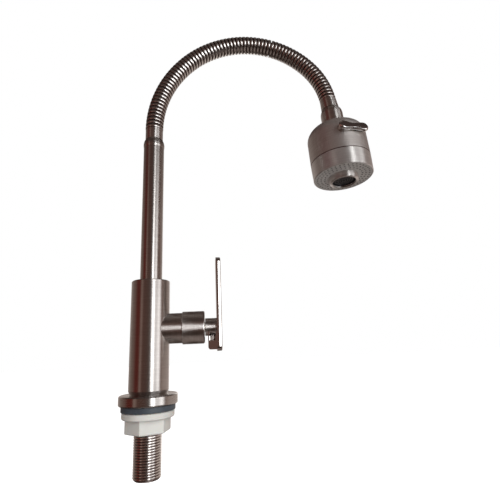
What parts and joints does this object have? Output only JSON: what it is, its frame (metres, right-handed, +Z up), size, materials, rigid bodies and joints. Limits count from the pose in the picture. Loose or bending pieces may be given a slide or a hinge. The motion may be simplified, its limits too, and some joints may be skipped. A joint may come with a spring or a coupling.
{
  "type": "kitchen tap",
  "caption": "Pillar kitchen tap in brushed steel: upright column with a side lever, swivelling spout tube, bendable ribbed gooseneck and a ball-jointed two-way spray head",
  "frame": {"origin": "on the column's axis, at the underside of the base gasket, which rests on the worktop", "axes": "+Z up along the column and the spout tube, +X along the side branch toward the lever and under the arm's reach, +Y by the right-hand rule"},
  "size_m": [0.2267, 0.0628, 0.399],
  "materials": {
    "brushed_steel": "fine brushed stainless steel",
    "polished_steel": "polished",
    "turned_steel": "turned stainless steel",
    "brass": "turned brass",
    "nut_plastic": "moulded off-white plastic",
    "gasket_rubber": "dark blue-grey rubber",
    "seal_rubber": "black rubber",
    "hose_rubber": "smooth grey hose",
    "ceramic": "lapped white ceramic",
    "bearing_plastic": "plain white plastic",
    "core_plastic": "moulded grey plastic",
    "face_plastic": "fine grey plastic",
    "insert_plastic": "black plastic"
  },
  "bodies": {
    "column": {"body_column": "brushed_steel", "base_flange": "polished_steel", "threaded_shank": "turned_steel", "seat_seal": "seal_rubber", "cartridge_body": "brass", "fixed_disc": "ceramic", "bonnet": "brushed_steel", "spout_bush": "bearing_plastic"},
    "gasket": {"base_gasket": "gasket_rubber"},
    "nut": {"back_nut": "nut_plastic"},
    "lever": {"valve_spindle": "brass", "moving_disc": "ceramic", "spindle_seal": "seal_rubber", "lever_hub": "polished_steel", "lever_plate": "polished_steel", "grub_screw": "turned_steel"},
    "spout": {"spout_nipple": "brass", "swivel_seals": "seal_rubber", "retaining_clip": "turned_steel", "spout_tube": "brushed_steel", "spout_collar": "polished_steel", "lower_ferrule": "polished_steel", "hose_section_1": "turned_steel", "inner_hose_1": "hose_rubber"},
    "hose_2": {"hose_section_2": "turned_steel", "inner_hose_2": "hose_rubber"},
    "hose_3": {"hose_section_3": "turned_steel", "inner_hose_3": "hose_rubber"},
    "hose_4": {"hose_section_4": "turned_steel", "inner_hose_4": "hose_rubber"},
    "hose_5": {"hose_section_5": "turned_steel", "inner_hose_5": "hose_rubber"},
    "hose_6": {"hose_section_6": "turned_steel", "inner_hose_6": "hose_rubber", "upper_ferrule": "polished_steel", "swivel_ball": "brass"},
    "ball_ring_upper": {"ball_washer": "bearing_plastic"},
    "ball_ring_lower": {"ball_seal": "seal_rubber"},
    "head": {"swivel_collar": "polished_steel", "head_core": "core_plastic", "head_shell": "brushed_steel", "head_ring": "brushed_steel", "spray_face": "face_plastic", "aerator_housing": "polished_steel", "aerator_insert": "insert_plastic", "aerator_washer": "seal_rubber", "mode_plate": "insert_plastic"},
    "mode_switch": {"mode_lever": "polished_steel", "mode_spindle": "brass", "mode_seal": "seal_rubber"}
  },
  "joints": [
    {"name": "nut_travel", "type": "slide", "parent": "column", "child": "gasket", "axis": [0, 0, -1], "range_m": [0, 0.0262]},
    {"name": "nut_turn", "type": "hinge", "parent": "gasket", "child": "nut", "pos_m": [0, 0, -0.008], "axis": [0, 0, -1], "range_deg": [0, 5184]},
    {"name": "lever_turn", "type": "hinge", "parent": "column", "child": "lever", "pos_m": [0.05, 0, 0.0608], "axis": [1, 0, 0], "range_deg": [0, 90]},
    {"name": "spout_swivel", "type": "hinge", "parent": "column", "child": "spout", "pos_m": [0, 0, 0.0915], "axis": [0, 0, 1], "continuous": true},
    {"name": "arm_bend_1", "type": "hinge", "parent": "spout", "child": "hose_2", "pos_m": [0.0088, 0, 0.28448], "axis": [0, 1, 0], "range_deg": [-5, 5]},
    {"name": "arm_bend_2", "type": "hinge", "parent": "hose_2", "child": "hose_3", "pos_m": [0.03392, 0, 0.31982], "axis": [0, 1, 0], "range_deg": [-5, 5]},
    {"name": "arm_bend_3", "type": "hinge", "parent": "hose_3", "child": "hose_4", "pos_m": [0.07179, 0, 0.34073], "axis": [0, 1, 0], "range_deg": [-5, 5]},
    {"name": "arm_bend_4", "type": "hinge", "parent": "hose_4", "child": "hose_5", "pos_m": [0.11496, 0, 0.34077], "axis": [0, 1, 0], "range_deg": [-5, 5]},
    {"name": "arm_bend_5", "type": "hinge", "parent": "hose_5", "child": "hose_6", "pos_m": [0.15219, 0, 0.31893], "axis": [0, 1, 0], "range_deg": [-5, 5]},
    {"name": "head_tilt_fore", "type": "hinge", "parent": "hose_6", "child": "ball_ring_upper", "pos_m": [0.17324, 0, 0.26337], "axis": [0, 1, 0], "range_deg": [-18.9, 8.9]},
    {"name": "head_tilt_side", "type": "hinge", "parent": "ball_ring_upper", "child": "ball_ring_lower", "pos_m": [0.17324, 0, 0.26337], "axis": [1, 0, 0], "range_deg": [-11, 16.6]},
    {"name": "head_spin", "type": "hinge", "parent": "ball_ring_lower", "child": "head", "pos_m": [0.17324, 0, 0.26337], "axis": [-0.0453, 0.0481, 0.9978], "continuous": true},
    {"name": "mode_turn", "type": "hinge", "parent": "head", "child": "mode_switch", "pos_m": [0.17975, -0.02992, 0.23173], "axis": [0.1735, -0.9833, 0.0553], "range_deg": [0, 90]}
  ],
  "couplings": [
    {"joint": "nut_travel", "follows": "nut_turn", "m_per_rad": 0.00028871}
  ]
}
